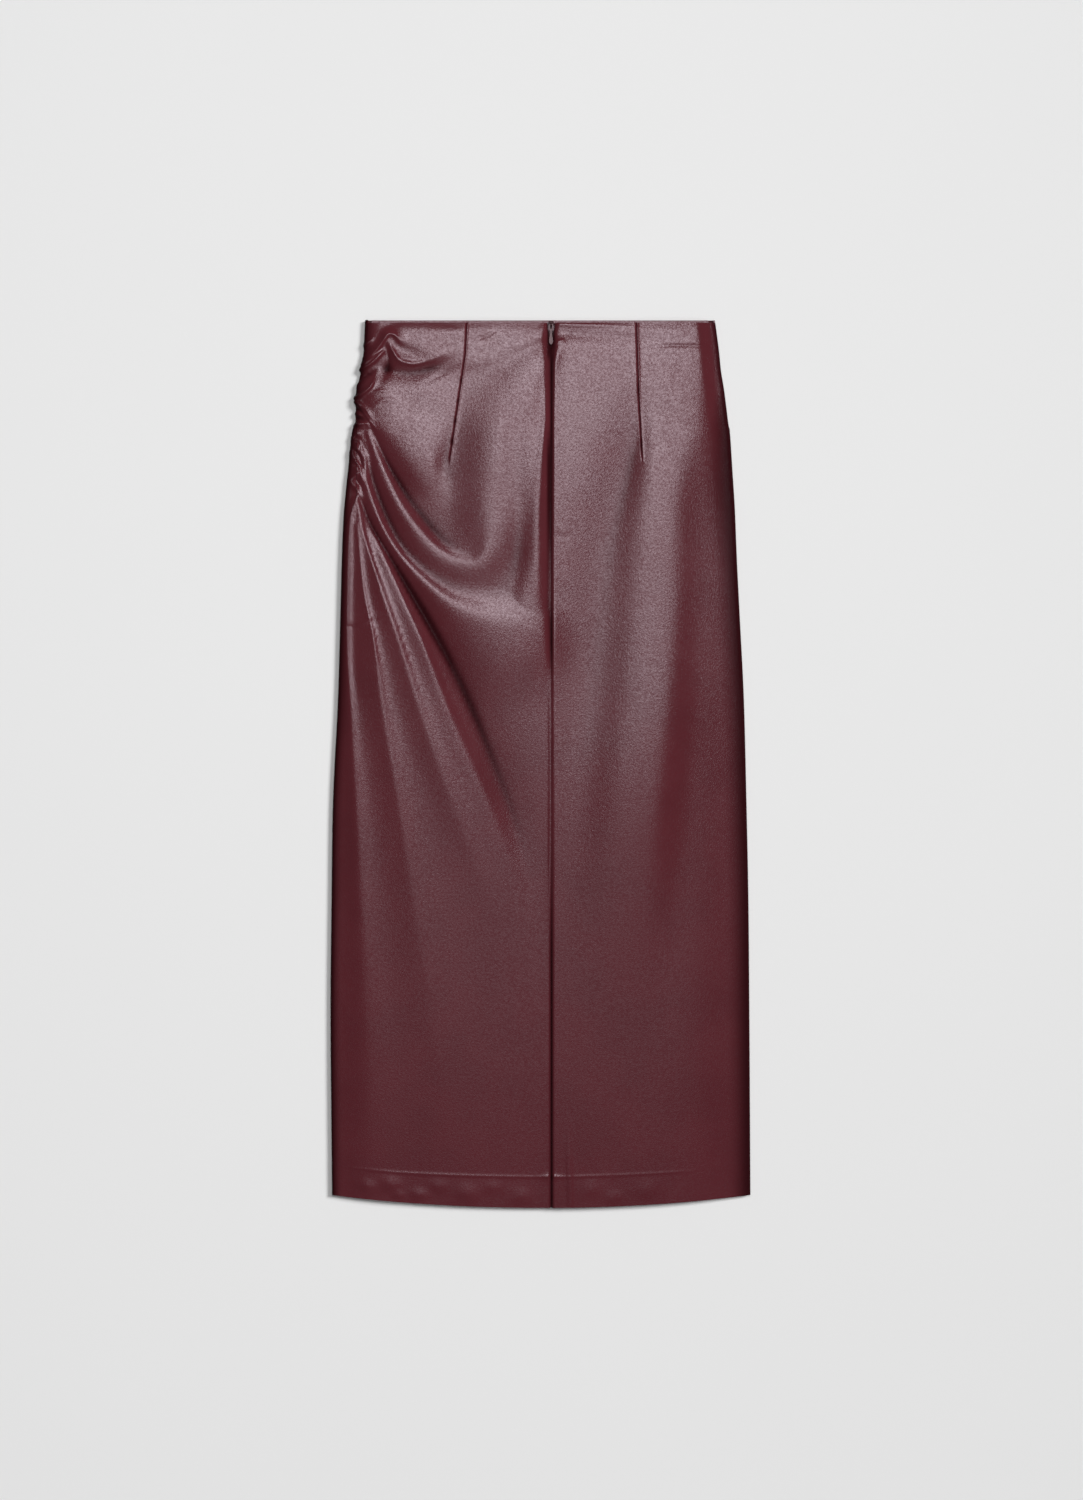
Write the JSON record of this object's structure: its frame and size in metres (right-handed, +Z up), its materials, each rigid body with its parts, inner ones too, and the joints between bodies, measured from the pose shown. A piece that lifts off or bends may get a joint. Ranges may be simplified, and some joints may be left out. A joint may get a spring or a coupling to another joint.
{
  "type": "leather skirt",
  "caption": "Midi pencil skirt in faux leather, gathered into one side seam, laid flat back up, with a hidden back zip and a swinging pull.",
  "frame": {"origin": "on the surface the skirt lies on, under the middle of its box", "axes": "+Y along the skirt from hem to waist, +X towards the wearer's right side with the back up, +Z up from the surface"},
  "size_m": [0.4202, 0.8874, 0.0128],
  "materials": {
    "leather": "semi-gloss coated faux leather, burgundy",
    "zip_tape": "matte woven tape, burgundy",
    "zip_metal": "lacquered to match the cloth"
  },
  "bodies": {
    "skirt": {"front": "leather", "back_left": "leather", "back_right": "leather", "front_facing": "leather", "zip_tape_left": "zip_tape", "zip_tape_right": "zip_tape", "zip_slider": "zip_metal"},
    "pull": {"zip_pull": "zip_metal"}
  },
  "joints": [
    {"name": "pull_hinge", "type": "hinge", "parent": "skirt", "child": "pull", "pos_m": [0.0105, 0.43885, 0.0067], "axis": [-1, 0, 0], "range_deg": [0, 165]}
  ]
}
